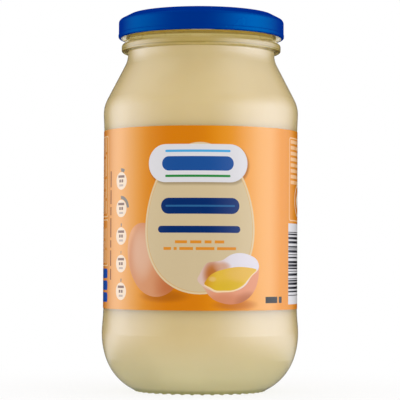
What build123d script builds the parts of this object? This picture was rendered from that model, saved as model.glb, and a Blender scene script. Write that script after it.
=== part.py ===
"""A shut glass jar of mayonnaise: jar, mayonnaise, paper label and twist-off lid.

All sizes are in millimetres. The jar stands upright on its knurled base ring,
with +Z up, the origin at the centre of the base and the label's front facing -Y.
"""

import os
from math import acos, cos, degrees, radians, sin, tan

from build123d import *

os.makedirs("parts", exist_ok=True)

# ---------------------------------------------------------------- the glass jar
panel_radius = 38.1  # straight wall under the label
panel_height = 70.3
lower_bulge_proud = 0.55  # the two bulges keep the label from scuffing
upper_bulge_proud = 0.25
lower_bulge_blend = 9.2  # height over which a bulge runs out into the panel
upper_bulge_blend = 6.6
heel_reach = 12.8  # from the lower bulge in to the edge of the base ring
heel_low_radius = 21.4
heel_high_radius = 30.5
heel_split = 19.0  # degrees below level at which the two heel arcs meet
shoulder_radius = 12.4
shoulder_slope = 27.3  # degrees from upright
neck_curve = 9.2  # hollow curve from the shoulder cone into the neck
neck_straight = 0.95
glass_wall = 2.9

finish_radius = 28.7  # glass inside the lid
rim_outer_round = 1.0
rim_inner_round = 0.8
neck_flare = 0.25  # the neck below the bead stands out from the finish
bead_reach = 2.75  # so does the bead, by which the jar is gripped
bead_face = 2.6
bead_low_round = 0.8
bead_high_round = 1.0
bead_root_round = 0.4

thread_count = 4
thread_arc = 62.0  # degrees that each thread ramp covers
thread_depth = 1.9
thread_root = 1.7  # height where it meets the neck
thread_tip = 0.7

base_ring_width = 2.5
punt_height = 3.0  # hollow under the base
floor_height = 6.2  # inside floor, where the inner heel curve ends
floor_crown = 1.6
inner_heel_radius = 17.0

knurl_count = 41
knurl_height = 0.4
knurl_radius = 1.2
knurl_length = 3.2
knurl_end_round = 1.0

# ------------------------------------------------------------- the mayonnaise
fill_below_rim = 4.9

# ------------------------------------------------------------------ the label
label_thickness = 0.15
label_margin = 0.5  # bare panel above and below the paper
label_lap = 6.0  # the glued end laps over the start at the back

# -------------------------------------------------------------------- the lid
sheet = 0.3  # tinplate with its lacquer
lid_height = 9.3
lid_bead_gap = 2.9  # glass that shows between the bead's face and the lid
lid_thread_gap = 1.75  # between the glass thread and the skirt
ring_inside_finish = 0.45  # raised ring's outer edge, in from the glass finish
ring_past_bore = 0.4  # its inner edge, in from the bore of the neck
shoulder_drop = 2.3  # raised ring down to the corner of the skirt
lid_shoulder_round = 1.63
panel_drop = 1.25
panel_step_width = 0.9
sheet_bend = 0.45
button_radius = 11.8
button_step = 0.2
button_step_width = 1.2
button_dip = 0.5
curl_proud = 0.13
curl_height = 1.5
curl_width = 1.65
curl_round = 0.75
lug_arc = 15.0  # degrees
lug_clearance = 0.98  # between a lug's tip and the glass finish
lug_height = 1.3
lug_round = 0.3

# ------------------------------------------------- places that follow from them
lower_bulge_radius = panel_radius + lower_bulge_proud
upper_bulge_radius = panel_radius + upper_bulge_proud
inner_radius = upper_bulge_radius - glass_wall

heel_high_x = lower_bulge_radius - heel_high_radius
heel_low_x = heel_high_x + (heel_high_radius - heel_low_radius) * cos(radians(heel_split))
base_outer = lower_bulge_radius - heel_reach
base_inner = base_outer - base_ring_width
heel_start = acos((base_outer - heel_low_x) / heel_low_radius)
heel_low_z = knurl_height + heel_low_radius * sin(heel_start)
lower_bulge_z = heel_low_z + (heel_high_radius - heel_low_radius) * sin(radians(heel_split))

panel_low = lower_bulge_z + lower_bulge_blend
panel_high = panel_low + panel_height
shoulder_z = panel_high + upper_bulge_blend

slope = radians(shoulder_slope)
shoulder_x = upper_bulge_radius - shoulder_radius
neck_radius = finish_radius + neck_flare
neck_bore = neck_radius - glass_wall
neck_x = neck_radius + neck_curve
cone_run = (neck_x - shoulder_x) - (shoulder_radius + neck_curve) * cos(slope)
neck_z = shoulder_z + (shoulder_radius + neck_curve) * sin(slope) - cone_run / tan(slope)
bead_radius = finish_radius + bead_reach
bead_low = neck_z + neck_straight
bead_high = bead_low + bead_face

lid_low = bead_high + lid_bead_gap
lid_top = lid_low + lid_height
rim_z = lid_top - sheet
fill_z = rim_z - fill_below_rim
lid_radius = finish_radius + thread_depth + lid_thread_gap + sheet
curl_radius = lid_radius + curl_proud
lug_low = lid_low + sheet / 2
thread_low = lug_low + lug_height + sheet


def wall_above_panel(inset):
    """Shoulder arc, shoulder cone and neck curve, set in from the outside by inset."""
    shoulder = CenterArc((shoulder_x, shoulder_z), shoulder_radius - inset, 0, shoulder_slope)
    neck = CenterArc((neck_x, neck_z), neck_curve + inset, 180, shoulder_slope)
    Line(shoulder @ 1, neck @ 1)
    return shoulder @ 0, neck @ 0


def inside_of_jar(top_z):
    """Inner neck, wall, heel and floor, from top_z down to the jar's axis."""
    wall_top, neck_foot = wall_above_panel(glass_wall)
    Line((neck_foot.X, top_z), neck_foot)
    heel_centre = (inner_radius - inner_heel_radius, floor_height + inner_heel_radius)
    heel = CenterArc(heel_centre, inner_heel_radius, -90, 90)
    Line(wall_top, heel @ 1)
    TangentArc((0, floor_height + floor_crown), heel @ 0, tangent=(1, 0))


# ------------------------------------------------------------------- jar_glass
# One knurl: a short rounded bar that lies along a radius of the base ring.
with BuildPart() as knurl:
    Cylinder(knurl_radius, knurl_length, rotation=(0, 90, 0))
    fillet(knurl.edges().filter_by(GeomType.CIRCLE), knurl_end_round)

# One thread ramp: a trapezium turned through part of a circle on the neck.
with BuildPart() as thread:
    with BuildSketch(Plane.XZ.rotated((0, 0, -thread_arc / 2))):
        tip_low = thread_low + (thread_root - thread_tip) / 2
        inside_neck = finish_radius - glass_wall / 2
        with BuildLine():
            Polyline(
                (inside_neck, thread_low),
                (finish_radius, thread_low),
                (finish_radius + thread_depth, tip_low),
                (finish_radius + thread_depth, tip_low + thread_tip),
                (finish_radius, thread_low + thread_root),
                (inside_neck, thread_low + thread_root),
                close=True,
            )
        make_face()
    revolve(axis=Axis.Z, revolution_arc=thread_arc)

# The jar is one turned piece of glass, with the knurls and the thread on it.
with BuildPart() as jar_glass:
    with BuildSketch(Plane.XZ):
        with BuildLine():
            TangentArc(
                (0, knurl_height + punt_height), (base_inner, knurl_height), tangent=(1, 0)
            )
            heel_low = CenterArc(
                (heel_low_x, heel_low_z),
                heel_low_radius,
                -degrees(heel_start),
                degrees(heel_start) - heel_split,
            )
            Line((base_inner, knurl_height), heel_low @ 0)
            heel_high = CenterArc(
                (heel_high_x, lower_bulge_z), heel_high_radius, -heel_split, heel_split
            )
            lower_blend = Spline(
                heel_high @ 1, (panel_radius, panel_low), tangents=((0, 1), (0, 1))
            )
            panel = Line(lower_blend @ 1, (panel_radius, panel_high))
            Spline(
                panel @ 1,
                (upper_bulge_radius, shoulder_z),
                tangents=((0, 1), (0, 1)),
            )
            wall_above_panel(0)
            FilletPolyline(
                (neck_radius, neck_z),
                (neck_radius, bead_low),
                (bead_radius, bead_low),
                (bead_radius, bead_high),
                (finish_radius, bead_high + bead_reach),
                (finish_radius, rim_z - rim_outer_round),
                radius=[bead_root_round, bead_low_round, bead_high_round, bead_high_round],
            )
            rim_out = CenterArc(
                (finish_radius - rim_outer_round, rim_z - rim_outer_round),
                rim_outer_round,
                0,
                90,
            )
            rim_in = CenterArc(
                (neck_bore + rim_inner_round, rim_z - rim_inner_round),
                rim_inner_round,
                90,
                90,
            )
            Line(rim_out @ 1, rim_in @ 0)
            inside_of_jar(rim_z - rim_inner_round)
            Line((0, floor_height + floor_crown), (0, knurl_height + punt_height))
        make_face()
    revolve(axis=Axis.Z)
    with Locations((0, 0, knurl_radius)):
        with PolarLocations((base_inner + base_outer) / 2, knurl_count):
            add(knurl.part)
    with PolarLocations(0, thread_count):
        add(thread.part)
jar_glass.part.label = "jar_glass"

# ------------------------------------------------------------------ mayonnaise
# It fills the jar to just under the lid and lies against the glass all round.
with BuildPart() as mayonnaise:
    with BuildSketch(Plane.XZ):
        with BuildLine():
            Line((0, fill_z), (neck_bore, fill_z))
            inside_of_jar(fill_z)
            Line((0, floor_height + floor_crown), (0, fill_z))
        make_face()
    revolve(axis=Axis.Z)
mayonnaise.part.label = "mayonnaise"

# ----------------------------------------------------------------------- label
# Paper wrapped once round the panel; its glued end laps over its start at the back.
label_low = panel_low + label_margin
label_height = panel_height - 2 * label_margin
label_outer = panel_radius + label_thickness
lap_arc = degrees(label_lap / label_outer)
with BuildPart() as label:
    with BuildSketch(Plane.XZ):
        with Locations((panel_radius, label_low)):
            Rectangle(label_thickness, label_height, align=(Align.MIN, Align.MIN))
    revolve(axis=Axis.Z)
    with BuildSketch(Plane.XZ.rotated((0, 0, 90 - lap_arc / 2))):
        with Locations((label_outer, label_low)):
            Rectangle(label_thickness, label_height, align=(Align.MIN, Align.MIN))
    revolve(axis=Axis.Z, revolution_arc=lap_arc)
label.part.label = "label"

# ------------------------------------------------------------------------- lid
# One lug: a short pad pressed inwards from the curl, which grips under a thread ramp.
with BuildPart() as lug:
    with BuildSketch(Plane.XZ.rotated((0, 0, -lug_arc / 2))) as lug_section:
        lug_root = curl_radius - curl_width + sheet / 2
        lug_tip = finish_radius + lug_clearance
        with Locations((lug_root, lug_low)):
            Rectangle(lug_root - lug_tip, lug_height, align=(Align.MAX, Align.MIN))
        fillet(lug_section.vertices().group_by(Axis.X)[0], lug_round)
    revolve(axis=Axis.Z, revolution_arc=lug_arc)

# The lid is one pressed sheet, from the button at the middle to the rolled curl.
with BuildPart() as lid:
    with BuildSketch(Plane.XZ):
        ring_outer = finish_radius - ring_inside_finish
        ring_inner = neck_bore - ring_past_bore
        panel_top = lid_top - panel_drop
        with BuildLine():
            button = TangentArc(
                (0, panel_top + button_step - button_dip),
                (button_radius, panel_top + button_step),
                tangent=(1, 0),
            )
            FilletPolyline(
                button @ 1,
                (button_radius + button_step_width, panel_top),
                (ring_inner - panel_step_width, panel_top),
                (ring_inner, lid_top),
                (ring_outer, lid_top),
                (lid_radius, lid_top - shoulder_drop),
                (lid_radius, lid_low + curl_height + 2 * curl_proud),
                (curl_radius, lid_low + curl_height),
                (curl_radius, lid_low),
                (curl_radius - curl_width, lid_low),
                (curl_radius - curl_width, lid_low + curl_height),
                radius=[
                    sheet_bend,
                    sheet_bend,
                    sheet_bend,
                    sheet_bend,
                    lid_shoulder_round,
                    sheet_bend,
                    sheet_bend,
                    curl_round,
                    curl_round,
                ],
            )
            offset(amount=sheet, side=Side.RIGHT, closed=True)
        make_face()
    revolve(axis=Axis.Z)
    with PolarLocations(0, thread_count):
        add(lug.part)
lid.part.label = "lid"

export_step(jar_glass.part, "parts/jar_glass.step")
export_step(mayonnaise.part, "parts/mayonnaise.step")
export_step(label.part, "parts/label.step")
export_step(lid.part, "parts/lid.step")

litre = 1e6
print(f"height {lid_top:.2f}, lid from {lid_low:.2f}, filled to {fill_z:.2f}")
print(f"mayonnaise {mayonnaise.part.volume / litre:.4f} l, glass {jar_glass.part.volume / litre:.4f} l")
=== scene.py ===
from math import ceil, cos, pi, radians, sin, tau

import bmesh
import bpy
import numpy as np
from mathutils import Matrix, Vector
from mathutils.geometry import delaunay_2d_cdt


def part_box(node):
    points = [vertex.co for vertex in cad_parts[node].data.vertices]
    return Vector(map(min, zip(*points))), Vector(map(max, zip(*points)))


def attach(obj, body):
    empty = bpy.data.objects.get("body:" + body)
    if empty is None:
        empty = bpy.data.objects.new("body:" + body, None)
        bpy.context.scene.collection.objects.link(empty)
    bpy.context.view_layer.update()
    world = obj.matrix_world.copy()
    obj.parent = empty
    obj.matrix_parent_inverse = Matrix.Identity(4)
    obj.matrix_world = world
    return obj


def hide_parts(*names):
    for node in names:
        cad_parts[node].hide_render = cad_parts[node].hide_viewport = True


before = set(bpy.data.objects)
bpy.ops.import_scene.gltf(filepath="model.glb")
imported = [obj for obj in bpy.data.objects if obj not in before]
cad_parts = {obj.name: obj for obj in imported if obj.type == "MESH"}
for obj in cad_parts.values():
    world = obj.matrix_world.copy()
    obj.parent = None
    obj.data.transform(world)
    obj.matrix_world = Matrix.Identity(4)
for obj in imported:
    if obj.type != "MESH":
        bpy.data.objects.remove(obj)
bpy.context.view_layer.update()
mm = 0.001


# ---------------------------------------------------------------------- the glass jar
# Clear soda-lime glass blown in a two-part mould. A fine seam runs up each side, the
# skin is faintly wavy, and glass looks greener where it is thick, at the heel.
class Value:
    """A node's output, on which Python's operators add Math nodes."""

    def __init__(self, finish, socket):
        self.finish = finish
        self.socket = socket

    def out(self, name):
        return Value(self.finish, self.socket.node.outputs[name])

    def math(self, operation, *others):
        sockets = dict(enumerate((self, *others)))
        return self.finish.node("ShaderNodeMath", {"operation": operation}, sockets)

    def flipped(self, operation, other):
        sockets = {0: other, 1: self}
        return self.finish.node("ShaderNodeMath", {"operation": operation}, sockets)

    def __add__(self, other):
        return self.math("ADD", other)

    def __radd__(self, other):
        return self.flipped("ADD", other)

    def __sub__(self, other):
        return self.math("SUBTRACT", other)

    def __rsub__(self, other):
        return self.flipped("SUBTRACT", other)

    def __mul__(self, other):
        return self.math("MULTIPLY", other)

    def __rmul__(self, other):
        return self.flipped("MULTIPLY", other)

    def __truediv__(self, other):
        return self.math("DIVIDE", other)

    def __rtruediv__(self, other):
        return self.flipped("DIVIDE", other)

    def __pow__(self, other):
        return self.math("POWER", other)

    def __abs__(self):
        return self.math("ABSOLUTE")

    def step(self, start, end):
        """0 up to start and 1 from end on, with a smooth ramp between them."""
        kind = {"interpolation_type": "SMOOTHSTEP"}
        return self.finish.node("ShaderNodeMapRange", kind, {0: self, 1: start, 2: end})


class Finish:
    """The node tree of a material, lamp or world, and the one way its nodes are made."""

    def __init__(self, owner):
        owner.use_nodes = True
        self.owner = owner
        self.tree = owner.node_tree
        self.tree.nodes.clear()

    def node(self, kind, settings=None, sockets=None):
        made = self.tree.nodes.new(kind)
        for name, value in (settings or {}).items():
            setattr(made, name, value)
        for name, value in (sockets or {}).items():
            if isinstance(value, Value):
                self.tree.links.new(value.socket, made.inputs[name])
            else:
                made.inputs[name].default_value = value
        return Value(self, made.outputs[0]) if made.outputs else None

    def mix(self, factor, low, high):
        """A colour between low and high."""
        made = self.node("ShaderNodeMix", {"data_type": "RGBA"}, {0: factor, 6: low, 7: high})
        return made.out(2)

    def noise(self, place, scale, detail=2.0):
        return self.node("ShaderNodeTexNoise", None, {"Vector": place, "Scale": scale, "Detail": detail})

    def surface(self, shader, volume=None):
        sockets = {"Surface": shader}
        if volume is not None:
            sockets["Volume"] = volume
        self.node("ShaderNodeOutputMaterial", None, sockets)
        return self.owner


def material(name):
    return Finish(bpy.data.materials.new(name))


def colour(red, green, blue):
    """A colour given as it looks on a screen, 0 to 255, turned into light."""
    parts = [value / 255 for value in (red, green, blue)]
    linear = [v / 12.92 if v <= 0.04045 else ((v + 0.055) / 1.055) ** 2.4 for v in parts]
    return (*linear, 1.0)


seam_width = 0.35 * mm
seam_height = 0.06 * mm
wave_height = 0.05 * mm
waves_per_metre = 38.0
green_up_to = 0.8 * mm
clear_from = 2.6 * mm
clear_tint = colour(250, 253, 250)
green_tint = colour(176, 186, 134)
# Deep glass takes light as it passes, and blue most of all.
kept_in_depth = (0.5, 0.6, 0.05, 1.0)
lost_per_metre = 10.0

glass = material("clear_glass")
place = glass.node("ShaderNodeTexCoord").out("Object")
across = glass.node("ShaderNodeSeparateXYZ", None, {0: place}).out("Y")
seam = 1 - (abs(across) / seam_width).step(0.0, 1.0)
waves = glass.noise(place, waves_per_metre, 1.0)
relief = seam * seam_height + waves * wave_height
bump = glass.node("ShaderNodeBump", None, {"Height": relief, "Distance": 1.0})
height = glass.node("ShaderNodeSeparateXYZ", None, {0: place}).out("Z")
heel = 1 - height.step(green_up_to, clear_from)
tint = glass.mix(heel, clear_tint, green_tint)
clear = glass.node(
    "ShaderNodeBsdfPrincipled",
    None,
    {
        "Base Color": tint,
        "Roughness": 0.0,
        "IOR": 1.52,
        "Transmission Weight": 1.0,
        "Normal": bump,
    },
)
# Light that falls on the mayonnaise and the label passes the glass straight.
paths = glass.node("ShaderNodeLightPath")
lit_through = paths.out("Is Shadow Ray").math("MAXIMUM", paths.out("Is Diffuse Ray"))
open_glass = glass.node("ShaderNodeBsdfTransparent", None, {0: clear_tint})
shader = glass.node("ShaderNodeMixShader", None, {0: lit_through, 1: clear, 2: open_glass})
depth = glass.node("ShaderNodeVolumeAbsorption", None, {0: kept_in_depth, 1: lost_per_metre})
glass.surface(shader, depth)

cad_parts["jar_glass"].material_slots[0].material = glass.owner


# --------------------------------------------------------------------- the mayonnaise
# A pale egg-yellow cream, filled in through the neck and touching the glass all round.
# It reaches a hair into the wall, so that no air shows between the two.
cream_reach = 0.15 * mm
surface_depth = 0.01 * mm
flat_middle = 20 * mm
cream_dark = colour(229, 200, 151)
cream_light = colour(234, 206, 158)
grain_height = 0.02 * mm

cream_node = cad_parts["mayonnaise"]
cream_mesh = cream_node.data.copy()
shell = bmesh.new()
shell.from_mesh(cream_mesh)
bmesh.ops.remove_doubles(shell, verts=shell.verts, dist=0.001 * mm)
shell.normal_update()
fill_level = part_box("mayonnaise")[1][2]
for vert in shell.verts:
    push = vert.normal.copy()
    if vert.co.z > fill_level - surface_depth:
        push = Vector((vert.co.x, vert.co.y, 0.0))
        push = push.normalized() if push.length > flat_middle else Vector()
    vert.co += push * cream_reach
shell.to_mesh(cream_mesh)
shell.free()
cream_mesh.shade_smooth()
cream = bpy.data.objects.new("mayonnaise_fill", cream_mesh)
bpy.context.collection.objects.link(cream)

fill = material("mayonnaise_cream")
place = fill.node("ShaderNodeTexCoord").out("Object")
folds = fill.noise(place, 42.0, 3.0).step(0.3, 0.7)
tone = fill.mix(folds, cream_dark, cream_light)
height = fill.node("ShaderNodeSeparateXYZ", None, {0: place}).out("Z")
# Behind the thick heel it is painted paler: painted light that stands in for light from
# the table below, and that also makes up for the green of the glass.
for start, end, shown in ((8, 24, (238, 219, 180)), (4, 12, (246, 228, 192))):
    tone = fill.mix(1 - height.step(start * mm, end * mm), tone, colour(*shown))
# Under the lid it is painted in bands of light and shade by height, behind the bead, the
# neck and the thread: a dark line under the bead, a lighter band up to the bead's painted
# highlight, the lid's painted shadow, and a lighter band right under the lid that eases
# that shadow. Their olive hue is partly the tint of the thick glass.
for start, end, shown in (
    (133.8, 134.1, (192, 162, 92)),
    (134.6, 135.0, (226, 195, 124)),
    (135.6, 136.0, (240, 216, 144)),
    (136.3, 136.8, (206, 168, 88)),
    (137.7, 138.4, (255, 210, 102)),
):
    tone = fill.mix(height.step(start * mm, end * mm), tone, colour(*shown))
grain = fill.noise(place, 900.0, 2.0)
bump = fill.node("ShaderNodeBump", None, {"Height": grain * grain_height, "Distance": 1.0})
shader = fill.node(
    "ShaderNodeBsdfPrincipled",
    None,
    {
        "Base Color": tone,
        "Roughness": 0.45 + folds * 0.1,
        "Specular IOR Level": 0.1,
        "Subsurface Weight": 0.15,
        "Subsurface Radius": (1.0, 0.8, 0.4),
        "Subsurface Scale": 1.0 * mm,
        "Normal": bump,
    },
)
fill.surface(shader)
cream_mesh.materials.clear()
cream_mesh.materials.append(fill.owner)

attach(cream, "root")
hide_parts("mayonnaise")


# -------------------------------------------------------------------------- the label
# Coated paper printed in flat inks under a gloss varnish, wrapped once round the jar
# and glued where its end laps over its start at the back. Its sizes are in mm.
label_low, label_high = (corner[2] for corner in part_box("label"))
label_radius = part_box("label")[1][0]
label_height = (label_high - label_low) / mm
around = tau * label_radius / mm
paper = 0.15
glue = 0.01
lap = 6.0
lap_rise = 2.0
sheet_start = -(around + lap) / 2
sheet_end = (around + lap) / 2

shapes = []


def printed(ink, outline):
    """Adds a shape over those already printed. Sizes are in mm, from the foot of the front."""
    shapes.append((ink, outline))


def bar(s, t, width, height, rounding=0.0):
    """A bar centred on s, t with rounded corners."""
    if rounding == 0:
        half = ((-1, -1), (1, -1), (1, 1), (-1, 1))
        return [(s + x * width / 2, t + y * height / 2) for x, y in half]
    points = []
    steps = 3 if rounding < 1 else 10
    for corner, (x, y) in enumerate(((1, 1), (-1, 1), (-1, -1), (1, -1))):
        for i in range(steps + 1):
            turn = pi / 2 * (corner + i / steps)
            points.append(
                (
                    s + x * (width / 2 - rounding) + rounding * cos(turn),
                    t + y * (height / 2 - rounding) + rounding * sin(turn),
                )
            )
    return points


def pill(s, t, width, height):
    return bar(s, t, width, height, min(width, height) * 0.499)


def round_outline(s, t, radius, steps=40):
    return [
        (s + radius * cos(tau * i / steps), t + radius * sin(tau * i / steps))
        for i in range(steps)
    ]


def egg_outline(s, t, half_width, up, down, narrowing, steps=72):
    """An upright egg about its widest level t, narrower towards its top."""
    points = []
    for i in range(steps):
        turn = tau * i / steps
        rise = sin(turn)
        reach = half_width * cos(turn) * (1 - narrowing * rise)
        points.append((s + reach, t + rise * (up if rise > 0 else down)))
    return points


def leaning(outline, s, t, lean):
    """An outline turned by lean degrees about s, t."""
    c, d = cos(radians(lean)), sin(radians(lean))
    return [
        (s + (x - s) * c - (y - t) * d, t + (x - s) * d + (y - t) * c) for x, y in outline
    ]


def ring_part(s, t, radius, width, start, sweep):
    """Part of a ring, from start degrees clockwise through sweep degrees."""
    steps = max(2, ceil(sweep / 8))
    turns = [radians(start - sweep * i / steps) for i in range(steps + 1)]
    outer = [(s + (radius + width / 2) * cos(a), t + (radius + width / 2) * sin(a)) for a in turns]
    inner = [(s + (radius - width / 2) * cos(a), t + (radius - width / 2) * sin(a)) for a in turns]
    return outer + inner[::-1]


def smooth(points, steps=6):
    """A closed curve that rounds its way through the points."""
    count = len(points)
    curve = []
    for i in range(count):
        a, b, c, d = (np.array(points[(i + k) % count]) for k in (-1, 0, 1, 2))
        for k in range(steps):
            u = k / steps
            curve.append(
                tuple(
                    0.5
                    * (2 * b + (c - a) * u + (2 * a - 5 * b + 4 * c - d) * u**2
                       + (3 * b - a - 3 * c + d) * u**3)
                )
            )
    return curve


def words(ink, s, t, lengths, height, gap, upright=False):
    """A row of plain bars where small print would stand, from s or t on."""
    for length in lengths:
        middle = (s, t + length / 2) if upright else (s + length / 2, t)
        size = (height, length) if upright else (length, height)
        printed(ink, bar(*middle, *size))
        s, t = (s, t + length + gap) if upright else (s + length + gap, t)


# The whole brown egg, and the big cream egg shape that stands before it.
egg_place = (-19.3, 18.7)
printed("brown_egg", leaning(egg_outline(*egg_place, 10.7, 15.2, 14.2, 0.08), *egg_place, 28.5))
panel = (-0.2, 33.2, 21.6, 29.9, 27.1, 0.12)
printed("cream_rim", egg_outline(*panel))
s, t, half_width, up, down, narrowing = panel
for inset, ink in ((0.7, "cream_line"), (0.95, "cream")):
    printed(ink, egg_outline(s, t, half_width - inset, up - inset, down - inset, narrowing))

# The white plaque with its three plain stripes.
plaque = (-1.1, 55.2, 38.8, 14.3)
printed("white", pill(*plaque))
printed("sky", pill(-1.1, 59.8, 25.0, 0.9))
printed("blue", pill(-1.1, 55.1, 27.5, 5.4))
printed("green", pill(-1.1, 50.4, 25.0, 0.9))

# Plain bars where the name of the food would stand.
printed("dark_blue", pill(-0.1, 39.2, 30.2, 6.0))
printed("inline_blue", pill(-0.1, 39.2, 26.6, 0.7))
printed("dark_blue", pill(-0.5, 30.4, 31.8, 2.6))
words("orange_ink", -9.6, 25.7, (4.6, 4.2, 2.6, 3.6), 1.1, 1.2)
words("orange_ink", -14.1, 23.2, (3.0, 1.2, 5.2, 7.0, 7.4), 1.1, 1.0)

# The broken egg: outer shell, white lining, yolk and the thin jagged edge.
shell_points = [
    (-1.0, 11.4), (-0.3, 13.4), (2.2, 17.5), (5.0, 18.3), (8.3, 18.9), (11.6, 20.9), (15.0, 21.6),
    (18.6, 21.1), (22.0, 19.6), (23.5, 17.4), (23.6, 14.6), (23.2, 11.4), (21.9, 8.0), (19.4, 5.0),
    (16.0, 3.1), (12.2, 2.4), (8.6, 2.8), (5.2, 4.1), (2.9, 6.2), (0.8, 9.2),
]
printed("shell", smooth(shell_points))
lining_points = shell_points[:10] + [
    (23.1, 15.2), (20.2, 12.8), (17.9, 9.8), (15.0, 7.9), (12.1, 7.2), (8.0, 6.9), (5.6, 6.9),
    (2.6, 8.2), (0.7, 9.4),
]
printed("lining", smooth(lining_points))
printed("edge", smooth([(x + 0.15, y - 0.4) for x, y in [
    (1.4, 9.8), (3.6, 8.4), (5.7, 7.3), (8.9, 7.3), (12.1, 7.5), (14.6, 8.3), (17.0, 9.9),
    (19.0, 12.0), (20.8, 13.9), (22.9, 15.6), (21.5, 15.2), (19.6, 13.4), (16.9, 10.6), (14.2, 8.9),
    (11.7, 8.2), (8.6, 8.2), (6.0, 8.3), (3.8, 9.4), (1.9, 10.6),
]]))
yolk_points = [
    (1.6, 9.9), (2.2, 11.4), (3.9, 13.3), (6.3, 14.7), (9.0, 15.5), (11.8, 16.1), (15.0, 16.4),
    (18.6, 16.2), (22.5, 15.4), (20.5, 13.6), (18.7, 11.7), (16.8, 9.7), (14.4, 8.3), (12.0, 7.6),
    (8.9, 7.5), (5.9, 7.6), (3.7, 8.7),
]
printed("yolk", smooth(yolk_points))

# The column of round gauges up the left, with plain marks in them.
for i, share in enumerate((30, 88, 9, 6, 9)):
    t = 49.0 - 10.53 * i
    printed("grey", ring_part(-35.0, t, 4.2, 1.3, 92, share))
    printed("pale", round_outline(-35.0, t, 3.35))
    words("grey_brown", -37.0, t + 1.7, (4.0,), 0.95, 0.0)
    words("grey_brown", -36.3, t, (1.1, 1.1), 1.15, 0.35)
    words("light_grey", -36.3, t - 1.7, (2.6,), 0.8, 0.0)

# Small print up the side, and two framed tables with blue tabs below them.
words("brown_ink", -43.1, 11.2, (4.2, 6.0, 2.8, 7.4, 3.2, 5.4, 6.2), 1.0, 1.1, upright=True)


def framed(s, t, width, height, field="orange"):
    printed("pale_line", bar(s, t, width, height, 1.4))
    printed(field, bar(s, t, width - 0.9, height - 0.9, 1.0))


framed(-63.0, 51.2, 34.0, 31.6)
framed(-63.0, 25.5, 34.0, 18.2)
for column in range(12):
    s = -77.6 + 2.6 * column
    lengths = ((6.4, 9.0, 4.2, 6.6), (8.6, 3.8, 7.0, 7.4), (5.0, 7.6, 8.4, 5.6))[column % 3]
    words("pale_ink", s, 36.8, lengths, 1.2, 1.0, upright=True)
    words("pale_ink", s, 17.6, lengths[:2], 1.2, 1.0, upright=True)
for column in range(2):
    for row in range(3):
        printed("blue_tab", bar(-52.2 - 12.4 * column, 13.6 - 4.6 * row, 11.2, 3.7, 1.0))

# The framed small print on the right, over the white field of striped bars.
framed(57.2, 50.3, 30.0, 32.4)
for row in range(8):
    lengths = ((9.0, 5.2, 7.0), (5.4, 8.0, 8.2), (7.6, 3.6, 10.2))[row % 3]
    words("pale_ink", 43.6, 64.8 - 2.24 * row, lengths, 1.35, 0.8)
printed("pale", round_outline(54.8, 42.2, 6.2))
printed("orange", round_outline(54.8, 42.2, 5.6))
printed("pale", leaning(bar(54.8, 42.2, 5.2, 5.2, 0.6), 54.8, 42.2, 45))
printed("white", bar(52.6, 17.6, 22.0, 31.2))
thin = 0.32
t = 5.3
for i in range(20):
    thick = thin * (1 + (i * i * 5 + i * 3) % 7 % 3)
    printed("black", bar(50.6, t + thick / 2, 17.9, thick))
    t += thick + thin * (1 + (i * 7 + 2) % 5 % 3)
words("dark_ink", 26.9, 3.9, (6.6, 1.9), 2.4, 1.0)

# The back: a cream table on the left of the lap and framed print on the right.
printed("cream_rim", bar(-99.5, 34.6, 34.0, 60.0, 3.0))
printed("cream", bar(-99.5, 34.6, 33.0, 59.0, 2.6))
printed("dark_blue", pill(-99.5, 58.4, 24.0, 3.2))
for row in range(12):
    lengths = ((8.0, 5.0, 11.0), (4.4, 9.6, 8.0), (6.6, 6.0, 9.6))[row % 3]
    words("orange_ink", -113.2, 53.2 - 2.7 * row, lengths, 1.0, 1.2)
for column in range(3):
    printed("dark_blue", round_outline(-109.0 + 9.5 * column, 13.6, 3.6))
    printed("cream", round_outline(-109.0 + 9.5 * column, 13.6, 2.8))
    printed("dark_blue", bar(-109.0 + 9.5 * column, 13.6, 2.4, 2.4, 0.4))
framed(94.5, 50.3, 36.0, 32.4)
printed("pale", pill(94.5, 63.0, 22.0, 2.2))
for row in range(9):
    lengths = ((10.0, 6.0, 8.0), (6.4, 7.6, 10.2), (4.6, 12.0, 7.4))[row % 3]
    words("pale_ink", 80.2, 59.0 - 2.7 * row, lengths, 1.0, 1.2)
framed(94.5, 17.8, 36.0, 29.0)
for row in range(7):
    lengths = ((7.0, 9.0, 8.4), (11.0, 4.0, 9.6))[row % 2]
    words("pale_ink", 80.2, 28.0 - 2.7 * row, lengths, 1.0, 1.2)
words("blue_tab", 80.2, 7.2, (12.0, 12.0), 3.4, 1.6)

# The sheet is cut along every outline, so each ink keeps a crisp edge when it is
# wrapped round the jar; the columns let it follow the curve.
strips = 100
columns = [sheet_start + (sheet_end - sheet_start) * i / strips for i in range(strips + 1)]
points = []
edges = []
for s in columns:
    points += [(s, 0.0), (s, label_height)]
    edges.append((len(points) - 2, len(points) - 1))
edges += [(i, i + 2) for i in range(len(points) - 2)]
for ink, outline in shapes:
    first = len(points)
    points += outline
    edges += [(first + i, first + (i + 1) % len(outline)) for i in range(len(outline))]
cut = delaunay_2d_cdt([Vector(point) for point in points], edges, [], 0, 1e-5)
flat = np.array([tuple(v) for v in cut[0]])
faces = np.array(cut[2])
middles = flat[faces].mean(axis=1)


def within(outline, places):
    """Which of the places lie inside the outline."""
    inside = np.zeros(len(places), dtype=bool)
    x, y = places[:, 0], places[:, 1]
    for (x0, y0), (x1, y1) in zip(outline, outline[1:] + outline[:1]):
        if y0 != y1:
            crosses = (y0 > y) != (y1 > y)
            inside ^= crosses & (x < (x1 - x0) * (y - y0) / (y1 - y0) + x0)
    return inside


inks = ["orange"]
ink_of = np.zeros(len(faces), dtype=int)
for ink, outline in shapes:
    if ink not in inks:
        inks.append(ink)
    ink_of[within(outline, middles)] = inks.index(ink)


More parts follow.
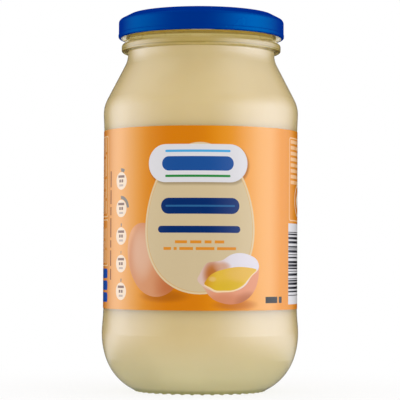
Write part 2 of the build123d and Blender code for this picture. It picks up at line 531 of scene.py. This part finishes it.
def wrapped(s, t, out):
    """The place on the jar of a point of the sheet, out mm from its printed face."""
    lift = min(1.0, max(0.0, (s - (sheet_end - lap - lap_rise)) / lap_rise))
    lift = lift * lift * (3 - 2 * lift)
    radius = label_radius + (lift * (paper + glue) + out) * mm
    turn = s * mm / label_radius
    return (radius * sin(turn), -radius * cos(turn), label_low + t * mm)


verts = [wrapped(s, t, 0.0) for s, t in flat]
face_verts = [tuple(face) for face in faces]
slots = list(ink_of)
sheet_places = [(s, t) for s, t in flat]
for s in columns:
    for t in (0.0, label_height):
        verts.append(wrapped(s, t, -paper))
        sheet_places.append((s, t))
first = len(flat)
index_of = {(round(s, 3), round(t, 3)): i for i, (s, t) in enumerate(flat)}
foot = [index_of[(round(s, 3), 0.0)] for s in columns]
head = [index_of[(round(s, 3), round(label_height, 3))] for s in columns]
for i in range(len(columns) - 1):
    a, b, c, d = (first + 2 * i + k for k in (0, 1, 2, 3))
    face_verts += [(a, b, d, c), (foot[i], a, c, foot[i + 1]), (head[i], head[i + 1], d, b)]
last = first + 2 * (len(columns) - 1)
face_verts += [(foot[0], head[0], first + 1, first), (foot[-1], last, last + 1, head[-1])]
inks.append("bare_paper")
slots += [len(inks) - 1] * (len(face_verts) - len(slots))

label_mesh = bpy.data.meshes.new("paper_label")
label_mesh.from_pydata(verts, [], face_verts)
label_mesh.polygons.foreach_set("material_index", slots)
sheet_map = label_mesh.uv_layers.new(name="sheet")
for loop in label_mesh.loops:
    s, t = sheet_places[loop.vertex_index]
    sheet_map.data[loop.index].uv = ((s - sheet_start) / (sheet_end - sheet_start), t / label_height)
label_mesh.shade_smooth()
corner_normals = []
for polygon in label_mesh.polygons:
    for vertex in polygon.vertices:
        if polygon.index < len(faces):
            x, y = label_mesh.vertices[vertex].co.xy
            corner_normals.append(Vector((x, y, 0.0)).normalized())
        else:
            corner_normals.append(polygon.normal.copy())
label_mesh.normals_split_custom_set(corner_normals)
label = bpy.data.objects.new("paper_label", label_mesh)
bpy.context.collection.objects.link(label)

fibre_height = 0.004 * mm
ripple_height = 0.03 * mm
bare_roughness = 0.75
varnish_roughness = 0.14
ink_colours = {
    "orange": (216, 123, 0),
    "cream": (209, 188, 148),
    "cream_rim": (222, 200, 158),
    "cream_line": (214, 172, 116),
    "white": (222, 220, 223),
    "sky": (74, 168, 222),
    "blue": (26, 80, 152),
    "green": (44, 138, 62),
    "dark_blue": (2, 44, 106),
    "inline_blue": (40, 98, 150),
    "orange_ink": (222, 140, 40),
    "brown_egg": (214, 148, 104),
    "shell": (226, 154, 120),
    "lining": (226, 220, 228),
    "edge": (244, 214, 170),
    "yolk": (226, 184, 60),
    "grey": (134, 128, 116),
    "light_grey": (196, 178, 166),
    "pale": (246, 224, 198),
    "grey_brown": (136, 108, 92),
    "brown_ink": (140, 82, 28),
    "pale_line": (248, 204, 152),
    "pale_ink": (246, 196, 142),
    "blue_tab": (6, 74, 168),
    "black": (28, 22, 26),
    "dark_ink": (40, 36, 14),
    "bare_paper": (226, 222, 212),
}


class Ink(Finish):
    """An ink on the coated paper, under the gloss varnish."""

    def __init__(self, name):
        super().__init__(bpy.data.materials.new(name))
        self.place = self.node("ShaderNodeUVMap", {"uv_map": "sheet"})
        split = self.node("ShaderNodeSeparateXYZ", None, {0: self.place})
        self.s = split * (sheet_end - sheet_start) + sheet_start
        self.t = split.out("Y") * label_height
        self.tone = colour(*ink_colours[name])

    def shade(self, amount, target):
        """Draws the tone towards the target colour by the amount."""
        self.tone = self.mix(amount, self.tone, colour(*target))

    def near(self, s, t, half_width, half_height):
        """1 at s, t and 0 at the edge of an ellipse about it."""
        spread = ((self.s - s) / half_width) ** 2 + ((self.t - t) / half_height) ** 2
        return 1 - spread.step(0.0, 1.0)

    def varnished(self, roughness):
        object_place = self.node("ShaderNodeTexCoord").out("Object")
        fibres = self.noise(object_place, 1400.0, 3.0)
        ripple = self.noise(object_place, 60.0, 1.0)
        relief = fibres * fibre_height + ripple * ripple_height
        bump = self.node("ShaderNodeBump", None, {"Height": relief, "Distance": 1.0})
        sockets = {
            "Base Color": self.tone,
            "Roughness": roughness + fibres * 0.08,
            "Specular IOR Level": 0.2,
            "Normal": bump,
        }
        return self.surface(self.node("ShaderNodeBsdfPrincipled", None, sockets))


# Shading in the inks: a painted light band up each side of the front, which stands in
# for the sheen of the varnish; and printed, the round forms of the eggs, their shadows,
# and the shadow that the plaque casts round itself.
for name in inks:
    ink = Ink(name)
    if name in ("orange", "cream"):
        mottle = ink.noise(ink.node("ShaderNodeTexCoord").out("Object"), 160.0, 3.0)
        ink.shade(mottle * 0.12, (232, 150, 4) if name == "orange" else (224, 206, 170))
    if name == "orange":
        # Painted light: a brighter orange, then a pale band of painted sheen, up each side of the front.
        ink.shade(ink.s.step(-3.0, 12.0) * (1 - ink.s.step(42.0, 56.0)), (232, 146, 2))
        ink.shade(ink.s.step(10.0, 27.0) * (1 - ink.s.step(28.0, 37.0)), (243, 176, 100))
        ink.shade(ink.s.step(-42.0, -30.0) * (1 - ink.s.step(-30.0, -12.0)), (226, 146, 2))
        ink.shade(ink.s.step(-57.0, -37.0) * (1 - ink.s.step(-37.0, -20.0)), (241, 175, 100))
        ink.shade(ink.near(-14.0, 5.4, 12.0, 3.0) * 0.65, (166, 88, 6))
        ink.shade(ink.near(13.6, 2.2, 11.0, 2.6) * 0.7, (186, 98, 20))
    if name == "brown_egg":
        ink.shade(1 - ink.near(-18.6, 19.4, 13.6, 17.0).step(0.0, 0.35), (232, 172, 126))
        ink.shade(ink.near(-21.5, 32.5, 7.0, 9.5) * 0.8, (204, 126, 76))
        ink.shade(ink.near(-23.4, 22.0, 6.4, 13.0) * 0.8, (224, 180, 150))
        ink.shade(ink.near(-8.0, 9.0, 12.0, 14.0) * 0.9, (192, 106, 54))
    if name == "shell":
        ink.shade(ink.near(10.0, 3.2, 11.0, 4.2) * 0.6, (204, 122, 78))
        ink.shade(ink.near(19.0, 3.0, 7.0, 5.0) * 0.9, (180, 106, 66))
        ink.shade(1 - ink.s.step(1.0, 5.0), (216, 172, 140))
    if name == "lining":
        ink.shade(1 - ink.s.step(5.0, 12.5), (220, 190, 178))
        ink.shade(ink.near(4.4, 13.6, 4.2, 6.4), (188, 112, 44))
        ink.shade(ink.near(8.4, 16.4, 4.0, 2.4) * 0.8, (206, 150, 112))
    if name == "yolk":
        ink.shade(1 - ink.s.step(1.0, 7.0), (208, 148, 26))
        ink.shade(ink.near(12.0, 8.6, 11.0, 4.0) * 0.7, (216, 178, 18))
        ink.shade(ink.near(16.0, 14.0, 8.0, 4.0) * 0.6, (230, 184, 96))
        ink.shade(ink.near(4.6, 11.8, 1.8, 1.2) * 0.8, (230, 190, 112))
    if name in ("orange", "cream"):
        plaque_s, plaque_t, plaque_width, plaque_height = plaque
        run = abs(ink.s - (plaque_s + 0.5)) - (plaque_width - plaque_height) / 2
        run = run.math("MAXIMUM", 0.0)
        reach = (run**2 + (ink.t - (plaque_t - 0.7)) ** 2) ** 0.5
        cast = 1 - reach.step(plaque_height / 2 - 0.4, plaque_height / 2 + 0.9)
        ink.shade(cast * 0.7, (150, 84, 8) if name == "orange" else (150, 130, 96))
    roughness = bare_roughness if name == "bare_paper" else varnish_roughness
    label_mesh.materials.append(ink.varnished(roughness))

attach(label, "root")
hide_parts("label")


# ---------------------------------------------------------------------------- the lid
# Pressed tinplate, printed blue outside under a thin cyan-tinted gloss and lacquered
# white inside, as its rolled edge and lugs show from below. It is twisted on.
blue_deep = colour(0, 40, 137)
blue_bright = colour(0, 47, 146)
white_lacquer = colour(250, 248, 244)
gloss_tint = (0.0, 0.7, 1.0, 1.0)
gloss_share = 0.036
peel_height = 0.01 * mm
skirt_from = 31.15 * mm
skirt_to = 31.25 * mm

lid_finish = material("lid_lacquer")
place = lid_finish.node("ShaderNodeTexCoord").out("Object")
facing = lid_finish.node("ShaderNodeTexCoord").out("Normal")
flat_place = lid_finish.node(
    "ShaderNodeVectorMath", {"operation": "MULTIPLY"}, {0: place, 1: (1.0, 1.0, 0.0)}
)
outward = lid_finish.node("ShaderNodeVectorMath", {"operation": "NORMALIZE"}, {0: flat_place})
sideways = lid_finish.node(
    "ShaderNodeVectorMath", {"operation": "DOT_PRODUCT"}, {0: outward, 1: facing}
).out("Value")
upward = lid_finish.node("ShaderNodeSeparateXYZ", None, {0: facing}).out("Z")
reach = lid_finish.node("ShaderNodeVectorMath", {"operation": "LENGTH"}, {0: flat_place})
reach = reach.out("Value")
# Blue is all that faces up, and past the skirt's radius all that doesn't face the axis.
skirt = sideways.step(-0.4, -0.2) * reach.step(skirt_from, skirt_to)
outside = upward.step(0.25, 0.35).math("MAXIMUM", skirt)
mottle = lid_finish.noise(place, 120.0, 3.0)
blue = lid_finish.mix(mottle * 0.5, blue_deep, blue_bright)
tone = lid_finish.mix(outside, white_lacquer, blue)
peel = lid_finish.noise(place, 700.0, 2.0)
bump = lid_finish.node("ShaderNodeBump", None, {"Height": peel * peel_height, "Distance": 1.0})
roughness = 0.22 + mottle * 0.08
lacquer = lid_finish.node(
    "ShaderNodeBsdfPrincipled",
    None,
    {
        "Base Color": tone,
        "Roughness": roughness,
        "Specular IOR Level": 0.0,
        "Normal": bump,
    },
)
gloss = lid_finish.node(
    "ShaderNodeBsdfPrincipled",
    None,
    {
        "Base Color": gloss_tint,
        "Roughness": roughness,
        "Metallic": 1.0,
        "Normal": bump,
    },
)
glossy = outside * gloss_share
lid_finish.surface(lid_finish.node("ShaderNodeMixShader", None, {0: glossy, 1: lacquer, 2: gloss}))
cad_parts["lid"].material_slots[0].material = lid_finish.owner


# -------------------------------------------------------------------- the white table
# A flat white table top, painted matt. It keeps the jar's soft shadow, runs out to
# pure white, and in gloss it shows the screens that stand on it, fading near the jar.
floor_mesh = bpy.data.meshes.new("floor")
half_side = 3.0
floor_mesh.from_pydata(
    [(x * half_side, y * half_side, 0.0) for x, y in ((-1, -1), (1, -1), (1, 1), (-1, 1))],
    [],
    [(0, 1, 2, 3)],
)
floor = bpy.data.objects.new("floor", floor_mesh)
bpy.context.collection.objects.link(floor)
table = material("white_table")
place = table.node("ShaderNodeTexCoord").out("Object")
spread = table.node("ShaderNodeSeparateXYZ", None, {0: place})
distance = table.node("ShaderNodeVectorMath", {"operation": "LENGTH"}, {0: place}).out("Value")


def screens_seen(across, back):
    """How bright the tall soft screens on the left and right are in gloss, by direction."""

    def screen(round_to, start, middle, end, level):
        """One screen, from start to end degrees round from the front, brightest at middle."""
        start, middle, end = (radians(angle) for angle in (start, middle, end))
        return round_to.step(start, middle) * (1 - round_to.step(middle, end)) * level

    to_right = across.math("ARCTAN2", back * -1)
    return screen(to_right, 5.0, 79.0, 150.0, 6.3) + screen(to_right * -1, 30.0, 102.0, 147.0, 4.1)


white = (1.0, 1.0, 1.0, 1.0)
cool = (0.76, 0.82, 1.0, 1.0)
room_dim = 0.03
table_near = 0.15
dim_up_to = 57 * mm
fade_length = 32 * mm
# How much of its plain paint shows near the jar, and how much of its glow lights the heel.
paint_share = 0.22
paint_up_to = 50 * mm
glow_from = 170 * mm
heel_fill = 0.4

plain = table.node("ShaderNodeBsdfDiffuse", None, {0: colour(248, 248, 248)})
glow = table.node("ShaderNodeEmission", None, {0: white, 1: 1.0})
paths = table.node("ShaderNodeLightPath")
seen = paths.out("Is Camera Ray").math("MAXIMUM", paths.out("Is Transmission Ray"))
share = seen * (1 - paint_share + distance.step(paint_up_to, glow_from) * paint_share)
share = share + paths.out("Is Diffuse Ray") * heel_fill
lit = table.node("ShaderNodeMixShader", None, {0: share, 1: plain, 2: glow})
far = ((distance - dim_up_to) / (distance + fade_length)).math("MAXIMUM", 0.0)
level = table_near + far * (screens_seen(spread, spread.out("Y")) + room_dim - table_near)
sheen_colour = table.node(
    "ShaderNodeVectorMath", {"operation": "SCALE"}, {0: cool[:3], "Scale": level}
)
sheen = table.node("ShaderNodeEmission", None, {0: sheen_colour, 1: 1.0})
mirrored = paths.out("Is Glossy Ray")
table.surface(table.node("ShaderNodeMixShader", None, {0: mirrored, 1: lit, 2: sheen}))
floor_mesh.materials.append(table.owner)


# ----------------------------------------------------------------------- the daylight
# A white cloth tent that lights the jar evenly from all round, with a tall screen and
# a weak lamp on each side. Gloss sees a dim room with the two screens in it.
daylight = 1.0
dimmer_above = 0.72

room = bpy.data.worlds.new("room")
room.cycles.sampling_method = "NONE"
bpy.context.scene.world = room
sky = Finish(room)
paths = sky.node("ShaderNodeLightPath")
seen = paths.out("Is Camera Ray").math("MAXIMUM", paths.out("Is Transmission Ray"))
toward = sky.node("ShaderNodeSeparateXYZ", None, {0: sky.node("ShaderNodeTexCoord")})
height = abs(toward.out("Z"))
upper = 1 - height.step(0.1, 0.7) * dimmer_above
reflected = room_dim + screens_seen(toward, toward.out("Y")) * upper
level = daylight + paths.out("Is Glossy Ray") * (reflected - daylight)
level = level + seen * (1 - level)
light = sky.mix(paths.out("Is Glossy Ray"), white, cool)
shade = sky.node("ShaderNodeBackground", None, {0: light, 1: level})
sky.node("ShaderNodeOutputWorld", None, {0: shade})


def softbox(name, azimuth, level, away=0.6, width=0.4, height=0.5):
    """A lamp before one of the screens, which lights the jar and isn't seen in its gloss."""
    lamp = bpy.data.lights.new(name, "AREA")
    lamp.shape = "RECTANGLE"
    lamp.size = width
    lamp.size_y = height
    lamp.energy = level * width * height * pi
    stand = bpy.data.objects.new(name, lamp)
    bpy.context.collection.objects.link(stand)
    turn = radians(azimuth)
    stand.location = (away * sin(turn), -away * cos(turn), height / 2)
    aim = Vector((0.0, 0.0, stand.location.z)) - stand.location
    stand.rotation_euler = aim.to_track_quat("-Z", "Y").to_euler()
    stand.visible_glossy = False


softbox("softbox_left", -105.0, 0.25)
softbox("softbox_right", 77.0, 0.55)


# ------------------------------------------------------------------------- the camera
# A long lens on a low tripod, 700 mm in front of the jar and a little under its middle,
# square on to the label's front and turned up slightly so that the jar fills the frame.
lens_length = 159.5
lens_place = (0.0, -0.7, 0.051)
lens_aim = Vector((-0.0002, 0.0, 0.07508))
lens_roll = 0.25

lens_data = bpy.data.cameras.new("camera")
lens_data.lens = lens_length
camera = bpy.data.objects.new("camera", lens_data)
bpy.context.collection.objects.link(camera)
camera.location = lens_place
aim = lens_aim - camera.location
roll = Matrix.Rotation(radians(lens_roll), 3, "Z")
camera.rotation_euler = (aim.to_track_quat("-Z", "Y").to_matrix() @ roll).to_euler()
bpy.context.scene.camera = camera
bpy.context.scene.view_settings.view_transform = "Standard"
